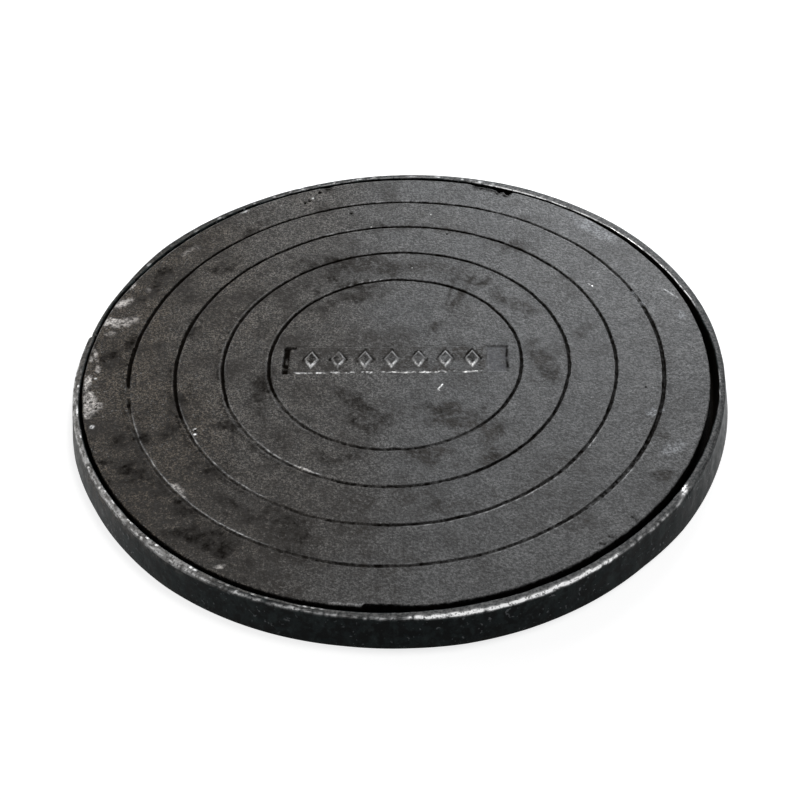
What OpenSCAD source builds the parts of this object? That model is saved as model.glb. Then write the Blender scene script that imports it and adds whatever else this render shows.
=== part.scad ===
// Round cast-iron grease trap cover: a ribbed cover plate lying in its frame ring.
// The ring stands on z = 0 with its axis on Z, and +X is to the right of someone
// who stands at -Y. The cover lies a little off centre, as it was dropped in.

/* [Cover plate] */
// Diameter of the cover across its top face
cover_d = 600; // [570:1:640]
// Thickness of the plate
plate_t = 8; // [6:0.5:10]
// Rounding along the top edge of the cover
cover_edge_r = 1.5; // [0.5:0.5:3]

/* [Turned-down rim of the cover] */
// Depth of the rim, from the top face down to its foot
rim_depth = 23; // [21:0.5:30]
// Thickness of the rim at its foot
rim_w = 9; // [6:0.5:12]
// How far the outer side of the rim leans in from top to foot
rim_taper = 1.5; // [0.5:0.5:3]

/* [Rings cut in the face] */
// Radius of the innermost ring
groove_r = 122; // [116:1:130]
// Distance from one ring to the next
groove_pitch = 45; // [35:1:50]
// Number of rings
groove_n = 4; // [2:1:4]
// Width of a ring at the face
groove_w = 3.4; // [2:0.2:6]
// Depth of a ring
groove_depth = 2; // [1:0.2:3]
// How far the pattern on the face lies off the centre of the cover, towards +X
pattern_shift = 0.9; // [0:0.1:2]

/* [Panel on the face] */
// Length of the panel
panel_l = 218; // [200:1:222]
// Width of the panel
panel_w = 38; // [32:0.5:44]
// Turn of the panel, in degrees
panel_turn = -3.4; // [-10:0.2:10]
// Length of the slot across the left end of the panel
slot_l = 6.5; // [3:0.5:10]
// Depth of that slot
slot_depth = 2; // [1:0.2:3]
// Length of the sunk field at the right end of the panel
field_l = 21; // [12:0.5:28]
// Depth of that field
field_depth = 1.2; // [0.6:0.2:2.4]
// Height of the strip between the slot and the field, above the face
strip_h = 0.6; // [0.2:0.2:1.4]

/* [Studs on the panel] */
// Number of studs
stud_n = 7; // [4:1:8]
// Size of a stud along the panel
stud_l = 15; // [8:0.5:18]
// Size of a stud across the panel
stud_w = 25; // [16:0.5:28]
// Height of a stud above the strip
stud_h = 1.6; // [0.8:0.2:2.4]
// Bare length of strip left of the first stud
stud_start = 14; // [8:0.5:20]
// Bare length of strip right of the last stud
stud_end = 6; // [3:0.5:12]

/* [Ribs under the cover] */
// Number of ribs that run out from the centre
rib_n = 8; // [6:1:10]
// Height of those ribs below the plate
rib_h = 12; // [9:0.5:14]
// Thickness of a rib along its free edge
rib_w = 6; // [4:0.5:9]
// How far each side of a rib leans out on its way up to the plate
rib_draft = 1.2; // [0.5:0.1:2]
// Size of the cove where they and the rim meet the plate
cove_r = 3; // [2.7:0.1:5]
// Radius of the rib that runs round
hoop_r = 150; // [110:1:200]
// Height of the rib that runs round
hoop_h = 10; // [6:0.5:11.5]
// Size of the cove along the rib that runs round
hoop_cove_r = 2.2; // [1:0.1:2.5]
// Diameter of the boss in the middle
boss_d = 60; // [40:1:90]
// Height of the boss below the plate
boss_h = 13.5; // [12.5:0.5:14.5]
// Size of the cove round the boss
boss_cove_r = 5; // [3.5:0.5:7]

/* [Frame ring] */
// Gap between the cover and the wall of the ring, with the cover centred
cover_gap = 5; // [3:0.5:8]
// Share of that gap taken up by the cover lying off centre
lie_share = 0.55; // [0:0.05:0.8]
// Side to which the cover lies, in degrees round the ring
lie_angle = 159; // [0:1:359]
// Thickness of the wall along its top
wall_t = 6.5; // [6:0.5:10]
// How far the outer side of the wall leans out from top to base
wall_flare = 5.5; // [2:0.5:9]
// How far the inner side of the wall leans in from top to seat
wall_draft = 1; // [0.5:0.1:1.5]
// Rounding of the outer top edge
outer_edge_r = 4; // [1:0.5:4]
// Rounding of the inner top edge
inner_edge_r = 1.2; // [0.4:0.2:1.6]
// Width of the seat that carries the cover
seat_w = 24; // [20:0.5:40]
// Thickness of the seat
seat_t = 10; // [7:0.5:16]
// Rounding of the free edge of the seat
seat_edge_r = 2; // [1:0.5:4]
// Cove between the seat and the wall
seat_cove_r = 1.2; // [0.4:0.2:1.4]

/* [Damage to the edge of the cover] */
// How far the notch at the front bites into the edge
notch_bite = 3.5; // [1:0.5:6]
// Length of the notch along the edge
notch_l = 52; // [20:1:80]
// Depth of the notch below the face
notch_depth = 14; // [6:0.5:18]
// Place of the notch's square end, in degrees round the cover
notch_at = -97.5; // [-150:0.5:-60]
// Depth of the chips in the back edge
chip_depth = 9; // [4:0.5:14]

/* [Hidden] */
$fn = 96;

// Each chip: place in degrees round the cover, length along the edge, bite
chips = [[63.6, 10, 3.2], [66.6, 13, 5.4], [69.6, 10, 7], [102.5, 15, 2.6]];

cover_r = cover_d/2;
face_z = seat_t + rim_depth;
under_z = face_z - plate_t;
rim_foot_r = cover_r - rim_taper;
lie = lie_share*cover_gap;
wall_r = cover_r + cover_gap;
seat_wall_r = wall_r - wall_draft;
seat_r = seat_wall_r - seat_w;
groove_floor_w = groove_w*0.45;
strip_l = panel_l - slot_l - field_l;
strip_x = -panel_l/2 + slot_l;
stud_pitch = (strip_l - stud_start - stud_end - stud_l)/(stud_n - 1);
slot_turn_l = 2*slot_l;
slot_turn_w = 0.6*slot_l;
arc_steps = 4;
bury = 1;
cove_sink = 0.3;
boss_bury = 3;

// Points of an arc about (x, y), from angle a to angle b
function arc(x, y, r, a, b) =
    [for (i = [0:arc_steps]) let (t = a + (b - a)*i/arc_steps)
        [x + r*cos(t), y + r*sin(t)]];

// Half section of the plate and its rim, with the axis at x = 0
function plate_section() =
    let (rise = under_z - seat_t,
         lean = rib_draft*(rise - cove_r)/rise,
         foot_in = rim_foot_r - rim_w,
         cove_x = foot_in - lean - cove_r)
    concat(
        [[0, face_z]],
        arc(cover_r - cover_edge_r, face_z - cover_edge_r, cover_edge_r, 90, 0),
        [[rim_foot_r, seat_t], [foot_in, seat_t]],
        arc(cove_x, under_z - cove_r, cove_r, 0, 90),
        [[0, under_z]]);

// Section of a rib about x = 0, from its free edge up into the plate
function rib_section(width, height, cove) =
    let (root = width/2 + rib_draft,
         cove_z = under_z - cove + cove_sink)
    concat(
        [[-width/2, under_z - height], [width/2, under_z - height]],
        arc(root + cove, cove_z, cove, 180, 90),
        [[root + cove, under_z + bury], [-root - cove, under_z + bury]],
        arc(-root - cove, cove_z, cove, 90, 0));

module plate_and_rim() {
    rotate_extrude() polygon(plate_section());
}

module groove(r) {
    rotate_extrude() polygon([
        [r - groove_w/2, face_z + bury],
        [r - groove_w/2, face_z],
        [r - groove_floor_w/2, face_z - groove_depth],
        [r + groove_floor_w/2, face_z - groove_depth],
        [r + groove_w/2, face_z],
        [r + groove_w/2, face_z + bury]]);
}

module grooves() {
    for (i = [0:groove_n - 1]) groove(groove_r + i*groove_pitch);
}

// A cut in the face, with its lower left corner at x, y of the panel
module cut(x, y, length, width, depth) {
    translate([x, y, face_z - depth]) cube([length, width, depth + bury]);
}

// The slot, which turns round the strip's corner, and the sunk field
module panel_cuts() {
    cut(-panel_l/2, -panel_w/2, slot_l, panel_w, slot_depth);
    cut(-panel_l/2, panel_w/2 - slot_turn_w, slot_turn_l, slot_turn_w, slot_depth);
    cut(panel_l/2 - field_l, -panel_w/2, field_l, panel_w, field_depth);
}

module strip() {
    difference() {
        translate([strip_x, -panel_w/2, face_z - bury])
            cube([strip_l, panel_w, strip_h + bury]);
        translate([strip_x - bury, panel_w/2 - slot_turn_w, face_z - slot_depth - bury])
            cube([slot_turn_l - slot_l + bury, slot_turn_w + bury, slot_depth + strip_h + 2*bury]);
    }
}

module stud() {
    translate([0, 0, face_z]) linear_extrude(strip_h + stud_h)
        polygon([[-stud_l/2, 0], [0, -stud_w/2], [stud_l/2, 0], [0, stud_w/2]]);
}

module studs() {
    for (i = [0:stud_n - 1])
        translate([strip_x + stud_start + stud_l/2 + i*stud_pitch, 0, 0]) stud();
}

// The ribs start inside the boss and end inside the rim
module radial_ribs() {
    start_r = boss_d/2 - boss_bury;
    end_r = rim_foot_r - rim_w/2;
    for (i = [0:rib_n - 1])
        rotate([0, 0, i*360/rib_n]) translate([start_r, 0, 0]) rotate([90, 0, 90])
            linear_extrude(end_r - start_r) polygon(rib_section(rib_w, rib_h, cove_r));
}

module hoop_rib() {
    rotate_extrude() translate([hoop_r, 0])
        polygon(rib_section(rib_w, hoop_h, hoop_cove_r));
}

module boss() {
    half = [for (p = rib_section(boss_d, boss_h, boss_cove_r)) if (p[0] > 0) p];
    rotate_extrude() polygon(concat([[0, under_z - boss_h]], half, [[0, under_z + bury]]));
}

// The edge is cut back along a line from a square step to nothing
module notch() {
    start = (cover_r - notch_bite)*[cos(notch_at), sin(notch_at)];
    end_at = notch_at + notch_l/cover_r*180/PI;
    out_r = cover_r + cover_gap;
    translate([0, 0, face_z - notch_depth]) linear_extrude(notch_depth + bury)
        polygon([start, out_r*[cos(notch_at), sin(notch_at)],
            out_r*[cos(end_at), sin(end_at)], cover_r*[cos(end_at), sin(end_at)]]);
}

module chip(at, length, bite) {
    rotate([0, 0, at]) translate([cover_r, 0, face_z - chip_depth])
        linear_extrude(chip_depth + bury)
            polygon([[bite, -length/2], [-bite*0.45, -length*0.38], [-bite, -length*0.08],
                [-bite*0.7, length*0.22], [bite, length/2]]);
}

module frame_ring() {
    color([0.15, 0.16, 0.16])
        rotate_extrude() polygon(concat(
            [[wall_r + wall_t + wall_flare, 0]],
            arc(wall_r + wall_t - outer_edge_r, face_z - outer_edge_r, outer_edge_r, 0, 90),
            arc(wall_r + inner_edge_r, face_z - inner_edge_r, inner_edge_r, 90, 180),
            arc(seat_wall_r - seat_cove_r, seat_t + seat_cove_r, seat_cove_r, 0, -90),
            arc(seat_r + seat_edge_r, seat_t - seat_edge_r, seat_edge_r, 90, 180),
            [[seat_r, 0]]));
}

module cover() {
    color([0.29, 0.29, 0.28])
        translate([lie*cos(lie_angle), lie*sin(lie_angle), 0])
            union() {
                difference() {
                    plate_and_rim();
                    translate([pattern_shift, 0, 0]) {
                        grooves();
                        rotate([0, 0, panel_turn]) panel_cuts();
                    }
                    notch();
                    for (c = chips) chip(c[0], c[1], c[2]);
                }
                translate([pattern_shift, 0, 0]) rotate([0, 0, panel_turn]) {
                    strip();
                    studs();
                }
                radial_ribs();
                hoop_rib();
                boss();
            }
}

frame_ring();
cover();
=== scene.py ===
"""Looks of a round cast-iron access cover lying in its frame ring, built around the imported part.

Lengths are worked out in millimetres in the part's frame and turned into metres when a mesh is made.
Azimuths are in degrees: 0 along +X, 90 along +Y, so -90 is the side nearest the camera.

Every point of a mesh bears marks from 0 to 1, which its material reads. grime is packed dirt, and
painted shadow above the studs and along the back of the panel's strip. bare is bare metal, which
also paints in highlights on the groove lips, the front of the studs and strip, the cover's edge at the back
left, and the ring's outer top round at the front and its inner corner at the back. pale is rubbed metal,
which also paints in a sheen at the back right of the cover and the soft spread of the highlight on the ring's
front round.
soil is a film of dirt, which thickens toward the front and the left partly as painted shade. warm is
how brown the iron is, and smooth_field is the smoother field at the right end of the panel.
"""

import math
from types import SimpleNamespace

import bmesh
import bpy
import numpy as np
from mathutils import Matrix, Vector
from mathutils.geometry import delaunay_2d_cdt

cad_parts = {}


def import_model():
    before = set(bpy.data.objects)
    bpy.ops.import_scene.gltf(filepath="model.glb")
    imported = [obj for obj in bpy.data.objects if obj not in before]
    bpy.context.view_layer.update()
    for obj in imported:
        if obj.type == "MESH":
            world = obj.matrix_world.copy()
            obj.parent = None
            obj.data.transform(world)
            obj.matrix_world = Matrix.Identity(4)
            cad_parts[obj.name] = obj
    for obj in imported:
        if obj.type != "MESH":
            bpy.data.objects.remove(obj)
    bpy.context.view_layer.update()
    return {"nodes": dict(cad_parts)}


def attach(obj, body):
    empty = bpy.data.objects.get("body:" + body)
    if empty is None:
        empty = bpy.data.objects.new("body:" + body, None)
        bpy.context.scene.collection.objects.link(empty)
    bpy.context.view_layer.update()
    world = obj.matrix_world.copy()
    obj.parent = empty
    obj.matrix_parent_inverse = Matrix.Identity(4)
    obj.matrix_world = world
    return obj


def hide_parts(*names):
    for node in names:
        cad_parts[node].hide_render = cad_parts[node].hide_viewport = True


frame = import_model()

MM = 0.001
DEGREE = math.radians(1)
SCENE = bpy.context.scene
MARKS = ("grime", "bare", "pale", "soil", "warm", "smooth_field")

# sizes of the cover, from the part, in mm: COVER is the centre of its edge, PATTERN that of its grooves
FACE_Z = 33
SEAT_Z = 10
PLATE_UNDER_Z = 25
COVER = np.array((-2.567, 0.986))
PATTERN = COVER + (0.9, 0)
COVER_R, EDGE_ROUND = 300, 1.5
RIM_FOOT_R, RIM_FOOT_IN_R = 298.5, 289.5
GROOVE_R = (122, 167, 212, 257)
GROOVE_PITCH, GROOVE_DEPTH = 45, 2
PANEL_TURN = math.radians(-3.4)
PANEL_L, PANEL_W = 218, 38
SLOT_L, SLOT_TURN_L, SLOT_TURN_W, SLOT_DEPTH = 6.5, 13, 3.9, 2
FIELD_L, FIELD_DEPTH = 21, 0.8
STUD_L, STUD_W, STUD_N = 15, 25, 7
STUD_FIRST, STUD_PITCH = -81, 25.917
TOP_OF_STUDS = 2.18
NOTCH_AT, NOTCH_L, NOTCH_BITE, NOTCH_DEPTH = -96.7, 52, 3.5, 14
CHIP_DEPTH = 9
# sizes of the ring's section: its rounds are given by their centre and radius
RING_R, RING_FLARE = 317, 5.5
CREST_R, CREST_Z, CREST_ROUND = 307.5, 29, 4
LAND_R, LAND_L = 307.6, 1.4
LIP_R, LIP_Z, LIP_ROUND = 306.2, 31.8, 1.2
COVE_R, COVE_Z, COVE_ROUND = 302.8, 11.2, 1.2
SEAT_IN_R, SEAT_IN_Z, SEAT_ROUND = 282, 8, 2
RING_BOX = 316.95

# single marks: the chip and the nicks in the ring's top edge, as azimuth and depth, and the azimuths of
# a bright spot on the cover's edge and a kink in its innermost groove
RING_CHIP_AT, RING_CHIP = -37.5, 2.4
RING_NICK_AT, RING_NICK = 168.8, 4.4
SMALL_NICK_AT, SMALL_NICK = 108.5, 1
EDGE_SPOT_AT = 121.6
KINK_AT = -91.5


def place_object(name, data):
    obj = bpy.data.objects.new(name, data)
    SCENE.collection.objects.link(obj)
    return obj


# Number helpers

def unit(x):
    return np.clip(x, 0, 1)


def smooth(a, b, x):
    t = unit((x - a) / (b - a))
    return t * t * (3 - 2 * t)


def bell(d, w):
    return np.exp(-(d / w) ** 2)


def around(th, at):
    """Signed difference of azimuths, in degrees, from -180 to 180."""
    return (th - at + 180) % 360 - 180


def spot(th, at, width):
    """1 at an azimuth, falling to 0 on both sides like a bell."""
    return bell(around(th, at), width)


def span(th, start, end, soft):
    """1 between two azimuths, falling to 0 over soft degrees outside them."""
    middle, half = (start + end) / 2, (end - start) / 2
    return 1 - smooth(half, half + soft, np.abs(around(th, middle)))


def lattice(ix, iy, seed):
    """A number from -1 to 1 for each whole cell, always the same one for the same seed."""
    h = (ix * 374761393 + iy * 668265263 + seed * 974634777) & 0xFFFFFFFF
    h = ((h ^ (h >> 13)) * 1274126177) & 0xFFFFFFFF
    return ((h ^ (h >> 16)) & 0xFFFF) / 32767.5 - 1


def noise(x, y, size, seed):
    """Smooth value noise from -1 to 1 with cells of the given size."""
    u, v = np.asarray(x, float) / size, np.asarray(y, float) / size
    ix, iy = np.floor(u).astype(np.int64), np.floor(v).astype(np.int64)
    fu, fv = u - ix, v - iy
    fu, fv = fu * fu * (3 - 2 * fu), fv * fv * (3 - 2 * fv)
    ix, iy = ix + 100000, iy + 100000
    low = lattice(ix, iy, seed) * (1 - fu) + lattice(ix + 1, iy, seed) * fu
    high = lattice(ix, iy + 1, seed) * (1 - fu) + lattice(ix + 1, iy + 1, seed) * fu
    return low * (1 - fv) + high * fv


def fractal(x, y, size, seed, octaves=3):
    total, weight = 0, 0
    for i in range(octaves):
        share = 0.5 ** i
        total = total + share * noise(x, y, size * share, seed + i)
        weight += share
    return total / weight


def round_noise(th, size, seed):
    """Noise along an azimuth that closes on itself, with features of about size mm at a radius of 300."""
    t = np.radians(th)
    return noise(300 * np.cos(t) + 700, 300 * np.sin(t) + 700, size, seed)


def ring_noise(th, across, size, seed):
    """Noise over the ring's surface, along its azimuths and across its section."""
    return noise(th * DEGREE * 310, across, size, seed)


def polar(x, y, centre):
    dx, dy = x - centre[0], y - centre[1]
    return np.hypot(dx, dy), np.degrees(np.arctan2(dy, dx))


def on_circle(centre, r, th):
    t = np.radians(th)
    return centre[0] + r * np.cos(t), centre[1] + r * np.sin(t)


def turned(x, y, turn):
    """Points in axes that are turned by an angle in radians."""
    c, s = math.cos(turn), math.sin(turn)
    return x * c + y * s, -x * s + y * c


def local(x, y, cx, cy, turn):
    """Points in the axes of a mark that lies at cx, cy and is turned by some degrees."""
    return turned(x - cx, y - cy, math.radians(turn))


def no_marks(like):
    return {name: np.zeros_like(like) for name in MARKS}


def more(marks, **values):
    """Raises marks to the given values where those are higher."""
    for name, value in values.items():
        marks[name] = np.maximum(marks[name], value)


# Where the marks lie

# how far each groove is filled with packed dirt: start and end azimuth, softness, share
FILLED = (
    ((-152, -56, 14, 0.45),),
    ((-156, -112, 8, 0.6), (-112, -72, 10, 0.4), (150, 156, 6, 0.2)),
    ((-158, -100, 6, 0.62), (-108, -98, 3, 0.5), (-98, -40, 12, 0.28), (20, 36, 8, 0.2)),
    ((-166, -112, 5, 0.68), (-175, -171.5, 0.8, 0.95), (14, 19, 2, 0.5), (24, 62, 8, 0.35),
     (-112, -60, 8, 0.4), (-66, -40, 9, 0.3)),
)
# where a thin bare line shows along the inner lip of a groove, which also paints in the highlight the lip
# catches: start and end azimuth, softness, strength
LIP_BARE_AND_HIGHLIGHT = (
    ((-158, -128, 8, 0.35), (150, 178, 10, 0.25)),
    ((-162, -140, 8, 0.5), (-141, -117, 3, 1.2), (150, 178, 10, 0.3)),
    ((-164, -128, 6, 0.9), (86, 96, 3, 0.4), (150, 176, 8, 0.2)),
    ((-166, -120, 4, 1), (26, 50, 10, 0.4), (-176, 176, 3, 0.15)),
)
# the same along the outer lip, where at the front it is mostly a painted highlight
OUTER_LIP_BARE_AND_HIGHLIGHT = (
    ((94, 112, 5, 1),),
    (),
    ((101, 111, 4, 0.8), (118, 122, 2, 0.6), (-84, -34, 10, 0.62)),
    ((84, 97, 5, 0.9), (46, 51, 2, 0.9), (-72, -66, 2, 0.5), (-66, -36, 8, 0.5)),
)
# how much wider each groove is at the right and at the left, in mm, and how dirty it is beside its left
WIDER_RIGHT = (0, 0, 0, 0.35)
WIDER_LEFT = (0.15, 0.15, 0.35, 0.55)
DIRT_BESIDE = (0, 0.55, 0.6, 0.35)
# small pits, as x, y, radius, depth
PITS = (
    (-76, 283.4, 2.7, 2.6), (-87.3, 268.7, 2.6, 2.2), (-41.5, 242.1, 2.6, 2.2), (-92, 265, 2.2, 1.2),
    (-189.4, -82.1, 1.9, 0.8), (60.2, 196, 1.4, 0.8), (232, -55, 1.4, 0.7), (-120, 210, 1.3, 0.7),
    (-286.4, -71.6, 1.3, 0.7),
)
# small bright grains, as x, y, length, width, turn
GRAINS = (
    (-83.6, 272.6, 4.4, 2.6, 40), (-189.2, -88, 4.2, 3.4, 30),
    (-157.7, 255.7, 5.5, 3.4, 25), (199.2, 100.8, 3, 1.8, -50), (202.2, 97.4, 3.2, 2, -50),
    (20.7, 141.2, 2.2, 1.4, 0), (-8.5, 214.3, 3.6, 1.5, 0), (-20, 214.5, 2.2, 1.4, 0),
    (-285.8, -71.4, 5.5, 6, 0), (-290.5, -5, 3.6, 3.2, 0), (-118, 262, 2, 1.2, 0),
    (45, 232, 2, 1.2, 0), (210, 118, 2, 1.2, 0), (-239, 96, 1.8, 1.2, 0),
)
# dark smudges, as x, y, length, width, turn, strength
SMUDGES = (
    (-35, 150, 104, 27, -8, 0.55), (75, 122, 62, 19, -25, 0.42), (-38, 108, 50, 25, 8, 0.72),
    (-72, 86, 32, 18, -20, 0.45), (66, 90, 44, 9, 68, 0.7), (58, 100, 30, 3, 75, 0.5),
    (36, 40, 24, 8, 60, 0.35), (140, -15, 56, 22, -65, 0.52), (-40, -58, 50, 20, -62, 0.52),
    (-28, -84, 40, 24, -10, 0.5), (44, -80, 42, 24, -20, 0.55), (80, -100, 34, 26, -40, 0.45),
    (118, 80, 46, 14, -38, 0.55), (-128, -35, 54, 18, 80, 0.45), (22, -128, 38, 18, 10, 0.5),
    (-55, -125, 38, 13, 5, 0.35), (80, -135, 30, 15, 20, 0.45), (-174, -216, 56, 17, -33, 0.95),
    (-102, -207, 42, 17, -35, 0.85), (-152, -178, 46, 13, -42, 0.62), (-192, -182, 30, 14, -30, 0.55),
    (-222, -150, 34, 16, -40, 0.55), (-238, -89, 24, 12, -20, 0.75), (-255, -93, 18, 20, -30, 0.6),
    (-246, -125, 28, 20, 10, 0.7), (-259, -118, 38, 2.4, 0, 1), (-158, -78, 28, 12, -10, 0.72),
    (-167, -136, 26, 12, -20, 0.65), (-181, -134, 22, 12, -60, 0.5), (-281, 22, 20, 26, 0, 0.8),
    (-262, 42, 26, 14, 60, 0.5), (-250, 122, 34, 16, 50, 0.62), (-236, 160, 30, 12, 46, 0.5),
    (-205, 205, 46, 10, 38, 0.42), (-152, 216, 36, 9, 40, 0.4), (-175, 160, 46, 18, 45, 0.34),
    (-200, 60, 30, 20, 70, 0.34), (-205, -50, 46, 20, 75, 0.45), (-130, 60, 30, 16, 50, 0.3),
    (229, -168, 24, 13, 15, 0.55), (150, -214, 30, 14, 20, 0.25), (186, 30, 26, 12, 40, 0.25),
    (235, -120, 26, 16, -30, 0.3), (0, 215, 60, 14, -5, 0.32), (60, 205, 44, 14, -20, 0.3),
    (136, 168, 34, 18, -38, 0.45), (150, 215, 26, 10, -35, 0.3), (-95, -240, 40, 12, -20, 0.35),
    (30, -190, 60, 16, 5, 0.25),
)
# pale rubbed patches, as x, y, length, width, turn, strength; the wide faint one at 217, 193 is a painted
# sheen
SCUFFS = (
    (-275, 108, 18, 8, 35, 0.75), (-270, 133, 9, 5, 40, 1), (-286, 79, 20, 9, 25, 0.95),
    (-272, 76, 30, 12, 20, 0.5), (-297.5, -10, 7, 24, -6, 0.85), (-293.5, -34, 11, 27, -8, 1),
    (-290, -52, 9, 16, -20, 0.85), (-285, -44, 8, 11, 0, 1), (-294.5, 29, 3, 16, 10, 0.6),
    (-290.5, 10, 2.4, 14, 4, 0.7), (-298, 23, 5, 9, 5, 0.55), (-282, 61, 16, 5, 10, 0.4),
    (-157, -247, 9, 3, 20, 0.6), (-199.8, -156.4, 21, 3.6, -52, 0.55), (241.8, 83.7, 3.2, 9, 15, 0.45),
    # the wide faint entry at 217, 193 on the next line is a painted sheen, not a rubbed patch
    (248.4, 66.5, 2.4, 7, 15, 0.35), (217, 193, 58, 18, -50, 0.17), (-213, 190, 28, 4.5, 38, 0.26),
    (245, -135, 26, 12, 30, 0.18), (-88.8, -138.7, 18, 3, -30, 0.7), (284, 46, 10, 12, 10, 0.25),
    (-252, 128, 5, 5, 0, 0.3), (236, -88, 14, 8, 20, 0.3),
)
# thin scratches, as x, y, length, width, turn, depth: the ones with a negative depth stand proud and are bare
SCRATCHES = (
    (279, 79, 22, 0.7, -53, -0.2), (197, -217, 9, 1.3, -40, 0.6), (174.5, -236.5, 8, 1.4, -20, 0.6),
    (165, -243, 6, 1.4, -20, 0.6), (40.2, -40, 8, 0.8, 55, -0.7), (37.8, -44.6, 3.6, 0.8, 110, -0.6),
    (-190, -81.5, 4, 0.8, 30, -0.5),
)
# how deep the chips at the back bite into the cover's edge, in mm, at azimuths
CHIPS = {
    61.5: 0, 62.2: 0.6, 62.6: 5.5, 63.1: 7.6, 63.6: 6.4, 64.1: 3, 64.6: 6.2, 65.2: 5.8, 65.6: 3.4,
    66.5: 2.8, 68: 2.4, 70.5: 2, 71.5: 0, 101: 0, 102.2: 2.5, 103.2: 1.4, 104.4: 0,
}
# how far the castings are out of round, in mm, at azimuths: the cover's edge, the ring's inner and outer edge
EDGE_OUT = {
    -180: -0.3, -170: -0.3, -160: -1.2, -150: -1, -140: -1.4, -130: -0.7, -120: 0, -110: 0.2, -90: -0.2,
    -70: 0.4, -50: 0, -40: 0.5, -20: 0.5, 0: 0.7, 20: 0.9, 30: 0.3, 40: 0.6, 60: -0.2, 80: -0.4,
    100: -0.8, 120: -0.5, 130: -0.8, 140: -1.3, 150: -1.1, 160: 0.2, 170: -0.8,
}
RING_IN = {
    -180: -0.8, -170: 0, -160: -0.1, -150: -0.8, -140: -0.5, -130: -1.5, -120: -0.8, -110: -1,
    -100: -0.4, -90: -1, -80: -1.2, -70: -1, -60: -1.5, -50: -1, -30: -1, -20: 0.2, -10: -0.5,
    0: -1, 10: -2.2, 20: -0.8, 30: -1.5, 40: -1.3, 50: -2.2, 60: -2.4, 70: -1.8, 80: 0.1, 100: -0.6,
    115: -0.6, 130: -0.6, 140: -1.2, 150: -1.3, 160: 0.6, 170: -0.9,
}
RING_OUT = {
    -180: 0, -165: 0, -153: -1.4, -141: -0.9, -131: 0, -112: -0.6, -100: -1.2, -90: -0.5, -82: 0.8,
    -72: 1, -60: 0.4, -50: -0.6, -40: 0.8, -26: 0.5, -13: 0.7, 0: 1.2, 14: 2, 27: 2.2, 38: 2.4, 50: 1.6,
    60: 1.8, 75: 1.2, 90: 0.7, 100: 0.3, 120: 0.8, 131: 1.8, 141: 2, 153: -1.4, 166: -2.2, 168.6: -2.4,
    169.4: -0.7, 173: -0.8,
}


def outline(th, table):
    """Offset at azimuths, read from a table that closes on itself."""
    return np.interp(th, list(table), list(table.values()), period=360)


# The face of the cover

def warmth(x, y):
    """How brown the surface is: most along the left."""
    lean = (-0.9 * x + 0.02 * y) / COVER_R
    return unit(0.22 + 1.15 * lean + 0.24 * fractal(x, y, 70, 33))


def scuff(x, y, item, seed):
    """A soft-edged oval with a ragged outline."""
    cx, cy, length, width, turn, strength = item
    u, v = local(x, y, cx, cy, turn)
    d = np.hypot(2 * u / length, 2 * v / width)
    d = d * (1 + 0.5 * fractal(x, y, 0.35 * min(length, width) + 3, seed))
    return strength * (1 - smooth(0.75, 1.15, d))


def smudge(x, y, item, seed):
    """A faint cloud with a long soft edge, denser in some places than in others."""
    cx, cy, length, width, turn, strength = item
    u, v = local(x, y, cx, cy, turn)
    d = np.hypot(1.6 * u / length, 1.55 * v / width) * (1 + 0.75 * fractal(x, y, 13, seed))
    dense = np.clip(0.8 + fractal(x, y, 9, seed + 7), 0, 1.3)
    return 1.15 * strength * (1 - smooth(0.25, 1.35, d)) * dense


def along(stretches, th):
    """The strongest of the stretches that reach each azimuth."""
    out = np.zeros_like(th)
    for start, end, soft, strength in stretches:
        out = np.maximum(out, strength * span(th, start, end, soft))
    return out


def groove_state(i, th):
    """How full a groove is, how bare its lips are, with the painted highlight on them, how far it wanders and
    half its width, in mm.
    """
    fill = np.clip(along(FILLED[i], th) * (1 + 0.3 * round_noise(th, 9, 60 + i)), 0, 0.97)
    lip = along(LIP_BARE_AND_HIGHLIGHT[i], th) * np.clip(0.75 + 0.45 * round_noise(th, 6, 70 + i), 0, 1.2)
    outer = along(OUTER_LIP_BARE_AND_HIGHLIGHT[i], th) * unit(0.3 + 1.2 * round_noise(th, 4.5, 170 + i))
    wander = 0.45 * round_noise(th, 60, 10 + i) + 0.22 * round_noise(th, 14, 20 + i)
    if i == 0:
        # the innermost groove has a short kink inwards at the front
        wander = wander - 1.2 * bell(around(th, KINK_AT) * DEGREE * GROOVE_R[0], 5)
    half = 1.65 + 0.18 * round_noise(th, 22, 30 + i) + 0.16 * round_noise(th, 4.5, 35 + i)
    half = half + WIDER_RIGHT[i] * span(th, -45, 12, 14) + WIDER_LEFT[i] * span(th, 150, 184, 12)
    return fill, lip, outer, wander, half


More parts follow.
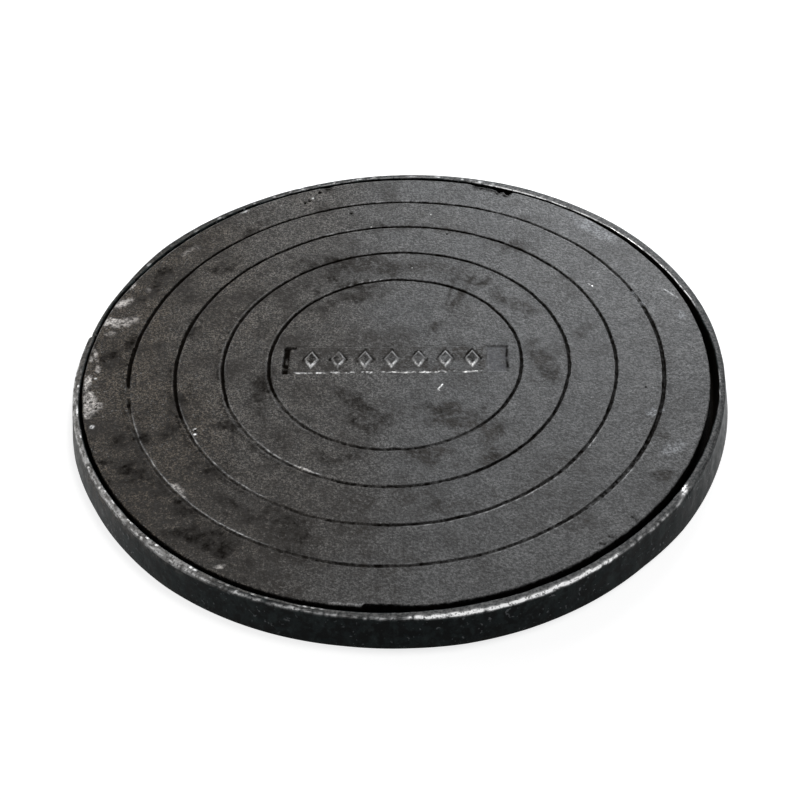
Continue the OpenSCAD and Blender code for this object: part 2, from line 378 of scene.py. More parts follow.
def grooves(h, x, y, marks):
    """The four ring grooves, with the dirt in them and the bare metal along their lips, which also paints in
    their highlights.
    """
    r, th = polar(x, y, PATTERN)
    for i, ring_r in enumerate(GROOVE_R):
        fill, lip, outer, wander, half = groove_state(i, th)
        d = r - ring_r - wander
        cut = 1 - smooth(0.4 * half, half, np.abs(d))
        h = h - GROOVE_DEPTH * (1 - fill) * cut
        h = h + (0.1 + 0.35 * lip) * bell(d + half + 0.7, 0.9) + 0.12 * bell(d - half - 1.1, 1.2)
        packed = 1 - smooth(0.8 * half, 1.2 * half, np.abs(d))
        more(marks, grime=packed * (0.97 - 0.85 * fill) * (1 - 0.08 * span(th, -50, 60, 30)))
        beside = span(th, -180, -132, 12) * unit(0.7 + 0.7 * round_noise(th, 7, 76 + i))
        more(marks, grime=DIRT_BESIDE[i] * beside * bell(d - half - 2.4, 1.3))
        # painted highlight: the bare lines along the lips also stand in for the light the lips catch
        thread = unit(0.75 + 0.6 * round_noise(th, 3.5, 75 + i))
        more(marks, bare=0.75 * lip * thread * bell(d + half + 0.4, 0.5))
        more(marks, bare=0.6 * outer * bell(d - half - 0.6, 0.6))
        if i < 2:
            # the inner two have a faint second line outside them at the left
            twin = span(th, 138, 222, 14) * unit(0.6 + 0.7 * round_noise(th, 9, 78 + i))
            more(marks, bare=0.14 * twin * bell(d - half - 1.2, 0.6))
            more(marks, grime=0.5 * twin * bell(d - half - 2.6, 0.7))
    return h


def small_marks(h, x, y, marks):
    """Pits, grains and scratches."""
    for cx, cy, radius, depth in PITS:
        d = np.hypot(x - cx, y - cy) / radius
        h = h - depth * (1 - smooth(0.35, 1, d)) + 0.15 * bell(d - 1.35, 0.3)
        more(marks, grime=1 - smooth(0.5, 1.1, d))
    for cx, cy, length, width, turn in GRAINS:
        u, v = local(x, y, cx, cy, turn)
        d = np.hypot(2 * u / length, 2 * v / width)
        h = h + 0.45 * (1 - smooth(0.2, 1.1, d))
        more(marks, bare=1 - smooth(0.4, 1.1, d))
    for cx, cy, length, width, turn, depth in SCRATCHES:
        u, v = local(x, y, cx, cy, turn)
        line = (1 - smooth(0.8, 1.1, np.abs(2 * u / length))) * bell(v - 0.05 * u * u / length, width)
        h = h - depth * line
        more(marks, grime=line * (depth > 0) * 0.85, bare=line * unit(-2 * depth))
    return h


def stains(h, x, y, marks):
    """Smudges, soot and rubbed patches, and the mottled film of dirt between them, which thickens toward the
    front and the left partly as painted shade.
    """
    r, th = polar(x, y, PATTERN)
    left = marks["warm"]
    for k, item in enumerate(SMUDGES):
        more(marks, soil=smudge(x, y, item, 80 + k))
    dapple = np.clip(0.72 + 1.5 * fractal(x, y, 9, 505), 0, 1.1)
    more(marks, grime=np.clip(1.4 * marks["soil"] - 0.1, 0, 0.56) * (0.45 + 0.65 * left) * dapple)
    for k, item in enumerate(SCUFFS):
        more(marks, pale=scuff(x, y, item, 130 + k))
    behind = 0.34 * bell(r - 146, 17) * span(th, 58, 128, 14) * (0.8 + 0.5 * fractal(x, y, 18, 77))
    blotch = unit(1.9 * fractal(x, y, 36, 510, 4) - 0.12) * (0.22 + 0.42 * left)
    fleck = unit(2.4 * fractal(x, y, 9, 520, 2) - 0.7) * (0.12 + 0.42 * left)
    for soil in (behind, blotch, fleck):
        more(marks, soil=soil)
    # painted shade: the film thickens toward the front and the left, partly real soiling and partly standing
    # in for the weaker sheen there
    marks["soil"] = marks["soil"] + (0.045 + 0.29 * left) * smooth(20, 240, -y)
    more(marks, grime=0.55 * left * unit(2.2 * fractal(x, y, 11, 530) - 0.75))
    return h + 0.12 * marks["pale"]


def panel_uv(x, y):
    """Points in the axes of the panel, from its middle."""
    return turned(x - PATTERN[0], y - PATTERN[1], PANEL_TURN)


def box_in(u, v, u0, u1, v0, v1, soft):
    """1 well inside a rectangle, 0 outside it, with sides that slope over soft mm inside its outline."""
    d = np.minimum(np.minimum(u - u0, u1 - u), np.minimum(v - v0, v1 - v))
    return smooth(0, soft, d)


def studs_at(u, v):
    """Depth inside the nearest lozenge stud, in mm: negative outside."""
    best = np.full_like(u, -99)
    run = STUD_L / 2 * STUD_W / 2 / math.hypot(STUD_L / 2, STUD_W / 2)
    for i in range(STUD_N):
        du = np.abs(u - (STUD_FIRST + i * STUD_PITCH))
        inside = (1 - du / (STUD_L / 2) - np.abs(v) / (STUD_W / 2)) * run
        best = np.maximum(best, inside)
    return best


def panel(h, x, y, marks):
    """The panel in the middle of the face, with its slot, field, strip and studs."""
    u, v = panel_uv(x, y)
    across = np.zeros_like(u)
    rough = 0.45 * noise(u, v, 7, 90) + 0.25 * noise(u, v, 2.6, 91)
    patchy = unit(0.76 + 0.9 * noise(u, v, 8, 96))
    end, side = PANEL_L / 2, PANEL_W / 2
    slot_v = v + 0.3 * rough
    slot = np.maximum(
        box_in(u, slot_v, -end - 0.6, -end + SLOT_L + 0.6, -side - 0.6, side + 0.6, 1.5),
        box_in(u, slot_v, -end - 0.6, -end + SLOT_TURN_L, side - SLOT_TURN_W, side + 0.6, 1.5))
    field = box_in(u + 1.1 * rough, v + 0.8 * rough, end - FIELD_L, end, -side, side, 2.2)
    strip = box_in(u, v + 0.7 * rough, -end + SLOT_L, end - FIELD_L, -side, side, 1.4) * (1 - slot)
    inside = studs_at(u + 0.25 * rough, v + 0.25 * rough)
    stud = smooth(-0.4, 1.5, inside)
    on_panel = box_in(u, v, -end, end, -side, side, 2)
    h = h * (1 - 0.6 * on_panel) - SLOT_DEPTH * slot - FIELD_DEPTH * field + 0.6 * strip
    h = h + 1.5 * stud * (1 - 0.06 * np.abs(rough)) + 0.16 * on_panel * rough * (1 - field)

    # packed dirt in the slot, inside the studs and at the ends of the field, and painted shadow above the
    # studs and along the back of the strip
    within = np.abs(v) < side
    for grime in (
            slot * unit(0.84 + 0.5 * noise(u, v, 3.6, 100)),
            # painted shadow above each stud
            bell(inside + 1, 1.2) * smooth(-9, 1, v) * patchy,
            0.55 * smooth(1.8, 3, inside) * patchy,
            # painted shadow along the back of the strip
            0.6 * patchy * bell(v - side - 0.3, 0.8) * box_in(u, v, -end, end, -40, 40, 2),
            patchy * bell(u - end + 0.9 + 0.8 * rough, 1.3) * within,
            0.3 * patchy * bell(u - end + FIELD_L, 0.8) * within):
        more(marks, grime=grime)
    more(marks, soil=0.5 * strip * (1 - stud) * unit(0.6 + 0.9 * noise(u, v, 9, 92)))
    more(marks, soil=0.55 * on_panel * smooth(end - 12, end - 2, u) * patchy)

    # bare metal that also paints in the highlights on the sides facing the front: a broken line along the
    # front of the strip, and the lower edges of the studs
    broken = unit(0.58 + 0.8 * noise(u, v, 7, 93) + 0.8 * noise(u, v, 2.2, 94))
    wander = 0.45 * noise(u, across, 9, 97) + 0.45 * noise(u, across, 2.6, 98)
    thick = 0.54 + 0.28 * noise(u, across, 4, 99)
    front = bell(v + side - 0.9 - wander, thick)
    front = front * box_in(u, v, -end + SLOT_L + 2, end - FIELD_L, -60, 60, 3)
    lower = bell(inside - 0.9, 0.9) * (1 - smooth(-9, 3.5, v))
    more(marks, bare=front * broken)
    more(marks, bare=lower * unit(0.85 + 0.7 * noise(u, v, 5, 95)))
    more(marks, bare=0.42 * bell(inside - 1.2, 0.6) * smooth(-9, 3.5, v) * patchy)
    marks["smooth_field"] = field
    return np.minimum(h, TOP_OF_STUDS)


def face(x, y):
    """Height over the face in mm, and the marks on it, at points in mm."""
    marks = no_marks(x)
    marks["warm"] = warmth(x, y)
    h = 0.16 * fractal(x, y, 90, 1) + 0.05 * fractal(x, y, 16, 5) + 0.04 * noise(x, y, 5, 8)
    for part in (grooves, small_marks, stains, panel):
        h = part(h, x, y, marks)
    return h, marks


# Mesh building

class Build:
    """Gathers vertices in mm with their marks, then faces, and makes one mesh object."""

    def __init__(self):
        self.points, self.faces, self.count = [], [], 0

    def add(self, x, y, z, **marks):
        """Adds points, each as its place and then its marks, and tells their numbers."""
        columns = np.broadcast_arrays(x, y, z, *(marks.get(name, 0) for name in MARKS))
        self.points.append(np.column_stack(columns))
        self.count += len(x)
        return np.arange(self.count - len(x), self.count)

    def band(self, low, high):
        """Quads between two closed rows of equal length."""
        quads = np.column_stack((low, np.roll(low, -1), np.roll(high, -1), high))
        self.faces.extend(quads.tolist())

    def make(self, name):
        points = np.concatenate(self.points)
        mesh = bpy.data.meshes.new(name)
        mesh.from_pydata((points[:, :3] * MM).tolist(), [], self.faces)
        for k, mark in enumerate(MARKS):
            layer = mesh.attributes.new(mark, "FLOAT", "POINT")
            layer.data.foreach_set("value", unit(points[:, 3 + k]).astype(np.float32))
        mesh.validate()
        mesh.update()
        return place_object(name, mesh)


def refine(obj):
    """Splits the faces around pits, grains and scratches finer, and shapes them again."""
    spots = [(x, y, radius + 2.2) for x, y, radius, _ in PITS]
    spots += [(x, y, length / 2 + 2.2) for x, y, length, _, _ in GRAINS]
    for x, y, length, _, turn, _ in SCRATCHES:
        for share in np.linspace(-0.5, 0.5, int(length / 3) + 2):
            spots.append((x + share * length * math.cos(math.radians(turn)),
                          y + share * length * math.sin(math.radians(turn)), 2.4))
    bm = bmesh.new()
    bm.from_mesh(obj.data)

    def near(reach):
        at = np.array([v.co for v in bm.verts]) / MM
        r, _ = polar(at[:, 0], at[:, 1], PATTERN)
        hit = np.zeros(len(at), bool)
        for x, y, size in spots:
            hit |= np.hypot(at[:, 0] - x, at[:, 1] - y) < size + reach
        u, v = panel_uv(at[:, 0], at[:, 1])
        on_panel = (np.abs(u) < PANEL_L / 2 + 6) & (np.abs(v) < PANEL_W / 2 + 6)
        return at, hit & (r < 296.2) & (at[:, 2] > FACE_Z - 4) & ~on_panel

    for reach in (2.5, 0.8):
        _, hit = near(reach)
        edges = [e for e in bm.edges if hit[e.verts[0].index] and hit[e.verts[1].index]]
        bmesh.ops.subdivide_edges(bm, edges=edges, cuts=1, use_grid_fill=True)
        bm.verts.index_update()
    at, hit = near(3.5)
    rows = np.nonzero(hit)[0]
    h, marks = face(at[rows, 0], at[rows, 1])
    h = h * (1 - 0.6 * smooth(290, 298, np.hypot(*(at[rows, :2] - COVER).T)))
    layers = {name: bm.verts.layers.float[name] for name in MARKS}
    bm.verts.ensure_lookup_table()
    for k, row in enumerate(rows):
        vert = bm.verts[row]
        vert.co.z = (FACE_Z + h[k]) * MM
        for name, layer in layers.items():
            vert[layer] = float(unit(marks[name][k]))
    bm.to_mesh(obj.data)
    bm.free()


def finish_mesh(obj, angle):
    """Welds what lies together, turns every face outwards and shades it smooth up to an angle."""
    bm = bmesh.new()
    bm.from_mesh(obj.data)
    bmesh.ops.remove_doubles(bm, verts=bm.verts, dist=0.01 * MM)
    bmesh.ops.dissolve_degenerate(bm, dist=0.002 * MM, edges=bm.edges)
    bmesh.ops.recalc_face_normals(bm, faces=bm.faces)
    bm.to_mesh(obj.data)
    bm.free()
    obj.data.shade_smooth()
    obj.data.set_sharp_from_angle(angle=math.radians(angle))


def azimuths(step, windows):
    """Azimuths from -180 up to 180 at one step, and closer together in each window."""
    out, at = [], -180
    while at < 180 - 1e-6:
        out.append(at)
        fine = [w[2] for w in windows if w[0] <= at < w[1]]
        at = round(at + (fine[0] if fine else step), 6)
    return np.array(out)


# The cover

def cover_edge(th):
    """How ragged the cover's edge is, and how far the notch and the chips cut it back, in mm."""
    ragged = 0.22 * round_noise(th, 11, 210) + 0.16 * round_noise(th, 4, 211) + outline(th, EDGE_OUT)
    on = around(th, NOTCH_AT) * DEGREE * COVER_R
    notch = NOTCH_BITE * smooth(-1.6, 0.6, on) * (1 - smooth(8, NOTCH_L, on))
    notch = notch * (1 + 0.1 * round_noise(th, 5, 201))
    chip = outline(th, CHIPS) * (1 + 0.25 * round_noise(th, 3.2, 202))
    return ragged, notch, chip


def notch_lip(th, share):
    """Rubbed metal beside the notch."""
    return 0.32 * share * span(th, -101.5, -97.2, 1)


def face_radii():
    """Radii of the rows of the face, close together at the grooves and near the edge."""
    radii = []
    for ring_r in GROOVE_R:
        radii += [ring_r + d for d in (-4.6, -3.4, -2.7, -2.1, -1.5, -0.8, 0, 0.8, 1.5, 2.1, 2.7, 3.4, 4.6)]
        if ring_r != GROOVE_R[-1]:
            radii += list(np.linspace(ring_r + 4.6, ring_r + GROOVE_PITCH - 4.6, 9)[1:-1])
    return radii + [266, 270.5, 275, 279.5, 284, 287.5, 290.5, 293, 295, 296.7, 298]


def face_rows(build, th, ragged, notch, chip):
    """Closed rows over the grooved part of the face, from the innermost out."""
    rows = []
    for radius in face_radii():
        centre = PATTERN + (COVER - PATTERN) * smooth(262, 296, radius)
        r = radius + ragged * smooth(290, 299, radius) - (notch + chip) * smooth(281, 298, radius)
        x, y = on_circle(centre, r, th)
        h, marks = face(x, y)
        edge = smooth(290, 298, radius)
        more(marks, grime=0.85 * edge * smooth(0.4, 2, chip),
             bare=0.95 * spot(th, EDGE_SPOT_AT, 0.5) * smooth(293, 297, radius),
             pale=notch_lip(th, smooth(296.4, 298, radius)))
        rows.append(build.add(x, y, FACE_Z + h * (1 - 0.6 * edge), **marks))
    return rows


def edge_rows(build, th, ragged, notch, chip):
    """Closed rows over the rounded top edge, then down the outer side of the rim to its foot."""
    rows = []
    # painted highlight: a faint broken bare line on the round of the edge at the back left
    glint = unit(0.45 + 0.8 * round_noise(th, 5, 220)) * span(th, 100, 178, 10) * 0.35
    round_z = FACE_Z - EDGE_ROUND
    for k in range(1, 6):
        a = math.radians(90 - 18 * k)
        r = COVER_R - EDGE_ROUND + EDGE_ROUND * math.cos(a) + ragged - notch - chip
        x, y = on_circle(COVER, r, th)
        rows.append(build.add(
            x, y, round_z + EDGE_ROUND * math.sin(a), warm=warmth(x, y), bare=glint * (k < 3),
            grime=smooth(1, 5, k) * (0.85 - 0.4 * span(th, 78, 148, 12)), pale=notch_lip(th, k < 3)))
    for z in (29.5, 26.5, 24.3, 23.5, 19.4, 18.6, 14, SEAT_Z):
        r = COVER_R + (RIM_FOOT_R - COVER_R) * (round_z - z) / (round_z - SEAT_Z)
        if z > SEAT_Z:
            r = r + 0.6 * ragged
        r = r - notch * (z > FACE_Z - NOTCH_DEPTH) - chip * (z > FACE_Z - CHIP_DEPTH)
        x, y = on_circle(COVER, r, th)
        rows.append(build.add(x, y, z, grime=0.95))
    return rows


def middle_of_face(build, ring_row, ring_row_r):
    """Fine grid over the panel, and triangles between it and the innermost row."""
    margin, step = 4, 0.76
    half_l, half_w = PANEL_L / 2 + margin, PANEL_W / 2 + margin
    u, v = (np.linspace(-half, half, int(round(2 * half / step)) + 1) for half in (half_l, half_w))
    c, s = math.cos(PANEL_TURN), math.sin(PANEL_TURN)

    def add(uu, vv):
        x, y = PATTERN[0] + uu * c - vv * s, PATTERN[1] + uu * s + vv * c
        h, marks = face(x, y)
        return build.add(x, y, FACE_Z + h, **marks)

    uu, vv = np.meshgrid(u, v)
    grid = add(uu.ravel(), vv.ravel()).reshape(len(v), len(u))
    corners = (grid[:-1, :-1], grid[:-1, 1:], grid[1:, 1:], grid[1:, :-1])
    build.faces.extend(np.column_stack([corner.ravel() for corner in corners]).tolist())

    # loose points in a jittered triangular pattern, between the grid and the row
    rng = np.random.default_rng(7)
    pitch, row_height = 2.1, 0.866
    reach = int(ring_row_r / pitch / row_height) + 1
    loose = []
    for j in range(-reach, reach + 1):
        for i in range(-reach, reach + 1):
            p = np.array(((i + 0.5 * (j % 2)) * pitch, j * pitch * row_height)) + rng.uniform(-0.35, 0.35, 2)
            pu, pv = turned(*p, PANEL_TURN)
            clear = abs(pu) > half_l + 1.6 or abs(pv) > half_w + 1.6
            if clear and np.hypot(*p) < ring_row_r - 2:
                loose.append((pu, pv))
    loose_ids = add(*np.array(loose).T)
    grid_rim = np.concatenate((grid[0, :-1], grid[:-1, -1], grid[-1, :0:-1], grid[:0:-1, 0]))
    ids = np.concatenate((ring_row, grid_rim, loose_ids))
    xy = np.concatenate(build.points)[ids, :2]
    nr, nb = len(ring_row), len(grid_rim)
    edges = [(i, (i + 1) % nr) for i in range(nr)] + [(nr + i, nr + (i + 1) % nb) for i in range(nb)]
    out = delaunay_2d_cdt([Vector(p) for p in xy], edges, [], 0, 1e-7)
    where = [src[0] for src in out[3]]
    for tri in out[2]:
        cx, cy = sum((out[0][k] for k in tri), Vector((0, 0))) / 3
        pu, pv = panel_uv(cx, cy)
        if abs(pu) > half_l or abs(pv) > half_w:
            build.faces.append([int(ids[where[k]]) for k in tri])


def underside(build, foot_row):
    """The ribs, the hoop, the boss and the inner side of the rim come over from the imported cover."""
    node = frame["nodes"]["cover"]
    bm = bmesh.new()
    bm.from_mesh(node.data)
    bm.transform(node.matrix_world)
    bmesh.ops.remove_doubles(bm, verts=bm.verts, dist=0.02 * MM)
    doomed = []
    for f in bm.faces:
        c = f.calc_center_median() / MM
        if math.hypot(c.x - COVER[0], c.y - COVER[1]) > RIM_FOOT_IN_R + 0.1 or c.z > PLATE_UNDER_Z + 0.05:
            doomed.append(f)
    bmesh.ops.delete(bm, geom=doomed, context="FACES")
    x, y, z = (np.array([v.co for v in bm.verts]) / MM).T
    ids = build.add(x, y, z, soil=0.35 + 0.35 * fractal(x, y, 40, 301),
                    warm=0.5 + 0.3 * fractal(x, y, 60, 305))
    for f in bm.faces:
        build.faces.append([int(ids[v.index]) for v in f.verts])
    loop = sorted({v.index for e in bm.edges if len(e.link_faces) == 1 for v in e.verts})
    bm.free()
    stitch(build, foot_row, ids[loop])


def closed_row(row, points):
    """A row in order of azimuth, its first point again at its end, and its azimuths, then infinity."""
    at = np.arctan2(points[row, 1] - COVER[1], points[row, 0] - COVER[0])
    order = np.argsort(at)
    row, at = row[order], at[order]
    return np.append(row, row[0]).tolist(), np.append(at, (at[0] + 2 * math.pi, math.inf))


def stitch(build, outer, inner):
    """Triangles between two closed rows about the cover's centre."""
    points = np.concatenate(build.points)
    outer, outer_at = closed_row(outer, points)
    inner, inner_at = closed_row(inner, points)
    i, j = 0, 0
    while min(outer_at[i + 1], inner_at[j + 1]) < math.inf:
        if outer_at[i + 1] <= inner_at[j + 1]:
            build.faces.append([outer[i], inner[j], outer[i + 1]])
            i += 1
        else:
            build.faces.append([outer[i], inner[j], inner[j + 1]])
            j += 1


def cover_piece():
    build = Build()
    th = azimuths(0.64, ((-101, -94, 0.3), (60, 73, 0.3), (99, 106, 0.3)))
    edge = cover_edge(th)
    rows = face_rows(build, th, *edge) + edge_rows(build, th, *edge)
    for low, high in zip(rows, rows[1:]):
        build.band(high, low)
    middle_of_face(build, rows[0], face_radii()[0])
    underside(build, rows[-1])
    obj = build.make("cover_casting")
    refine(obj)
    finish_mesh(obj, 50)
    return obj


# The frame ring

def rounded(r, z, radius, start, step, count, place):
    """Rows on a round of the section with its centre at r, z, each some degrees on from the one before."""
    turns = [math.radians(start + step * k) for k in range(1, count + 1)]
    return [(r + radius * math.cos(a), z + radius * math.sin(a), place) for a in turns]


def ring_section():
    """The ring's section as rows of (r, z, place), from the outer foot over the top and back below."""
    rows = [(RING_R - 0.1, 0, "foot")]
    for z in (0.8, 2.5, 5, 8, 11, 14, 17, 20, 23, 26, 28.6):
        rows.append((RING_R - RING_FLARE * z / CREST_Z, z, "side"))
    rows += rounded(CREST_R, CREST_Z, CREST_ROUND, 0, 11.25, 8, "crest")
    rows += [(r, FACE_Z, "land") for r in (307.15, 306.65, 306.15)]
    rows += rounded(LIP_R, LIP_Z, LIP_ROUND, 90, 22.5, 4, "lip")
    for z in (29, 25, 20, 15, COVE_Z):
        rows.append((LIP_R - LIP_ROUND - (LIP_Z - z) / (LIP_Z - COVE_Z), z, "inside"))
    rows += rounded(COVE_R, COVE_Z, COVE_ROUND, 0, -30, 3, "inside")
    rows += [(r, SEAT_Z, "seat") for r in (299, 293, 288, SEAT_IN_R)]
    rows += rounded(SEAT_IN_R, SEAT_IN_Z, SEAT_ROUND, 90, 22.5, 4, "seat")
    rows.append((SEAT_IN_R - SEAT_ROUND, 4, "seat"))
    rows += [(r, 0, "under") for r in (SEAT_IN_R - SEAT_ROUND, 290, 304)]
    return rows


def ring_top(th):
    """How far the ring's top corners stray outwards, and how deep the chip and the nicks cut, in mm."""
    inner = (0.35 * round_noise(th, 40, 401) + 0.25 * round_noise(th, 12, 402)
             + 0.12 * round_noise(th, 4, 403)
             - 0.5 * span(th, -57, -46, 4) + 0.4 * span(th, -66, -60, 4) + 0.3 * span(th, -33, -27, 4)
             + 1.6 * span(th, -13, 12, 8) + outline(th, RING_IN))
    outer = outline(th, RING_OUT)
    # where the wall is thin, the outer end of the land gives way, so the land keeps some width
    land = np.maximum(outer, inner - 1.05)
    chip = RING_CHIP * spot(th, RING_CHIP_AT, 0.75) + spot(th, RING_CHIP_AT + 1.3, 0.5)
    nick = RING_NICK * spot(th, RING_NICK_AT, 0.34) + SMALL_NICK * spot(th, SMALL_NICK_AT, 0.4)
    return SimpleNamespace(inner=inner, outer=outer, land=land, chip=chip, nick=nick)


def ring_shape(th, top, radius, z, place):
    """How far a row of the section strays outwards and upwards, in mm."""
    dr, dz = np.zeros_like(th), np.zeros_like(th)
    if place in ("side", "crest"):
        dr = (0.22 * round_noise(th, 50, 410) + 0.2 * ring_noise(th, z, 9, 411)
              + 0.1 * ring_noise(th, z, 3.2, 412))
        dr = dr * smooth(0, 6, z) + top.outer - 0.1
    if place == "crest":
        part = (z - CREST_Z) / CREST_ROUND
        dr = (dr - top.outer) * (1 - part) + top.outer + (top.land - top.outer) * part ** 3
        dr = dr - top.chip * part - top.nick * (0.4 + 0.6 * part)
        dz = -1.6 * top.chip / RING_CHIP * part
    if place in ("crest", "land"):
        fine = 0.12 * ring_noise(th, radius, 4.5, 421) * smooth(29.5, 33, z)
        dz = dz + 0.12 * round_noise(th, 30, 420) + fine
    if place == "foot":
        dr = top.outer
    if place == "land":
        share = (LAND_R - radius) / LAND_L
        dr = top.inner * share + top.land * (1 - share)
        dz = dz - 0.9 * top.chip / RING_CHIP
    if place == "lip":
        dr, dz = top.inner, 0.12 * round_noise(th, 30, 420) * smooth(30.6, 33, z)
    if place == "inside":
        dr = top.inner * smooth(12, 30, z)
    return dr, dz


def flecks(th, across, size, seed, gain=3.2, less=1.3):
    """Scattered flecks on the ring."""
    return unit(gain * ring_noise(th, across, size, seed) - less)


def crest_marks(th, radius, z, k, marks):
    """Bare metal along the outer top round, most at the front, with rubbed metal beside it; at the front both
    also paint in the highlight on the round and its soft spread.
    """
    across = z + radius
    tilt = math.degrees(math.atan2(z - CREST_Z, radius - CREST_R))
    lean = tilt - 46 - 9 * round_noise(th, 6, 434)
    line = 0.75 * bell(lean, 14) + 0.35 * bell(lean, 27)
    broken = (0.76 + 0.45 * span(th, -86, -62, 6) + 0.45 * round_noise(th, 5, 430 + k % 2)
              + 0.3 * round_noise(th, 2.2, 432) + 0.95 * ring_noise(th, across, 2.8, 433))
    # painted highlight: the bare line is strongest at the front, where the round shows a bright highlight
    wear_and_highlight = (1.25 * span(th, -87, -58, 5) + 0.42 * span(th, -106, -40, 7)
            + 0.45 * span(th, -178, -118, 16) + 0.1 * span(th, 20, 178, 10))
    spark = flecks(th, across, 2.9, 438) * span(th, -176, -108, 8) * smooth(30, 50, tilt)
    rubbed = unit(0.5 + 0.9 * ring_noise(th, across, 4, 439)) * span(th, -172, -130, 9)
    for bare in (line * np.clip(broken, 0, 1.15) * wear_and_highlight, 0.6 * spark, 0.34 * rubbed,
                 spot(th, RING_CHIP_AT, 0.9) * smooth(30, 60, tilt)):
        more(marks, bare=bare)
    # painted highlight: the second part, rubbed metal below the bare line at the front, paints in the soft
    # spread of the highlight
    pale = np.maximum(0.95 * span(th, -182, -126, 12) * smooth(-30, 0, tilt),
                      0.62 * span(th, -100, -26, 10) * smooth(12, 42, tilt))
    back = (0.55 * span(th, -30, 178, 12) - 0.3 * span(th, 96, 156, 14)) * smooth(30, 60, tilt)
    marks["pale"] = np.maximum(pale, back) * unit(0.85 + 0.5 * round_noise(th, 6, 436 + k % 3))
    marks["grime"] = 0.75 * spot(th, RING_NICK_AT, 0.4) * (z - CREST_Z) / CREST_ROUND


def land_marks(th, radius, k, marks):
    """Rubbed metal on the flat top, with bare flecks."""
    marks["pale"] = span(th, -182, -122, 12) * unit(0.8 + 0.6 * round_noise(th, 5, 440 + k % 3))
    more(marks, pale=(0.7 + 0.2 * round_noise(th, 7, 441)) * (1 - 0.5 * span(th, 94, 158, 14)))
    rubbed = unit(0.5 + 0.9 * ring_noise(th, radius, 4, 439))
    for bare in (
            flecks(th, radius, 2.6, 442) * span(th, -176, -108, 8),
            0.8 * flecks(th, radius, 4.2, 447, 3.4, 1.2) * span(th, -174, -148, 6),
            0.45 * flecks(th, radius, 3.4, 449, 3, 1.2) * span(th, 60, 150, 10),
            0.3 * rubbed * span(th, -172, -130, 9),
            spot(th, RING_CHIP_AT + 0.6, 0.75)):
        more(marks, bare=bare)


def ring_marks(th, radius, z, place, k):
    """The marks of one row of the section."""
    marks = no_marks(th)
    back = span(th, 78, 148, 12)
    if place == "crest":
        crest_marks(th, radius, z, k, marks)
    if place == "land":
        land_marks(th, radius, k, marks)
    if place == "lip":
        lowest = z < LIP_Z + 0.1
        # painted highlight: bare metal along the inner top corner, strongest at the back right, stands in for
        # the highlight on that corner
        glint = unit(0.85 + 0.8 * round_noise(th, 5, 450)) * (not lowest)
        marks["bare"] = glint * (0.95 * span(th, 14, 68, 5) + 0.45 * span(th, -16, -8, 2)
                                 + 0.25 * span(th, 56, 110, 10))
        marks["grime"] = 0.9 * lowest * (1 - 0.7 * back)
    if place == "inside":
        patchy = unit(0.6 + 0.9 * round_noise(th, 9, 448))
        marks["grime"] = 0.97 - 0.75 * smooth(19, 29, z) * back * patchy
    if place == "seat":
        marks["grime"] += 0.85
    if place == "under":
        marks["soil"] += 0.5
    if place in ("side", "foot"):
        marks["soil"] = 0.6 * (1 - smooth(0, 5, z)) * unit(0.6 + 0.6 * round_noise(th, 25, 460))
        pale = (0.6 * span(th, -178, -152, 10) * smooth(3, 20, z)
                + 0.5 * span(th, -152, -132, 8) * smooth(21, 27, z))
        marks["pale"] = pale * unit(0.6 + 0.9 * ring_noise(th, z, 5, 444))
    return marks


def ring_piece():
    build = Build()
    th = azimuths(0.45, ((-70, -34, 0.3), (164, 172, 0.2)))
    cos, sin = on_circle((0, 0), 1, th)
    box_r = RING_BOX / np.maximum(np.abs(cos), np.abs(sin))
    top = ring_top(th)
    rows = []
    for k, (radius, z, place) in enumerate(ring_section()):
        dr, dz = ring_shape(th, top, radius, z, place)
        r = np.minimum(radius + dr, box_r)
        x, y = r * cos, r * sin
        marks = ring_marks(th, radius, z, place, k)
        marks["warm"] = warmth(x, y)
        rows.append(build.add(x, y, z + dz, **marks))
    for low, high in zip(rows, rows[1:] + rows[:1]):
        build.band(low, high)
    obj = build.make("frame_ring_casting")
    finish_mesh(obj, 40)
    return obj


# Materials

BROWN = (0.51, 0.425, 0.335, 1)
COOL_RUB_AND_SHEEN, WARM_RUB = (0.96, 0.99, 1.04, 1), (1.04, 0.98, 0.93, 1)
SOIL_AND_SHADE = (0.0115, 0.0090, 0.0068, 1)
DIRT_AND_SHADE = (0.0032, 0.0024, 0.0017, 1)
FIELD_TONE = (0.058, 0.059, 0.068, 1)
DARK_PAINT, LIGHT_PAINT = (0.0022, 0.0032, 0.0034, 1), (0.0130, 0.0180, 0.0185, 1)
PAINT_STREAK = (0.030, 0.040, 0.040, 1)
LAND_BROWN = (0.95, 0.85, 0.74, 1)
RING_SOIL = (0.020, 0.020, 0.018, 1)


def grey(v, warm=0):
    """A grey that is browner with warm above 0 and bluer below it."""
    return (v * (1 + 0.1 * warm), v, v * (1 - 0.14 * warm), 1)


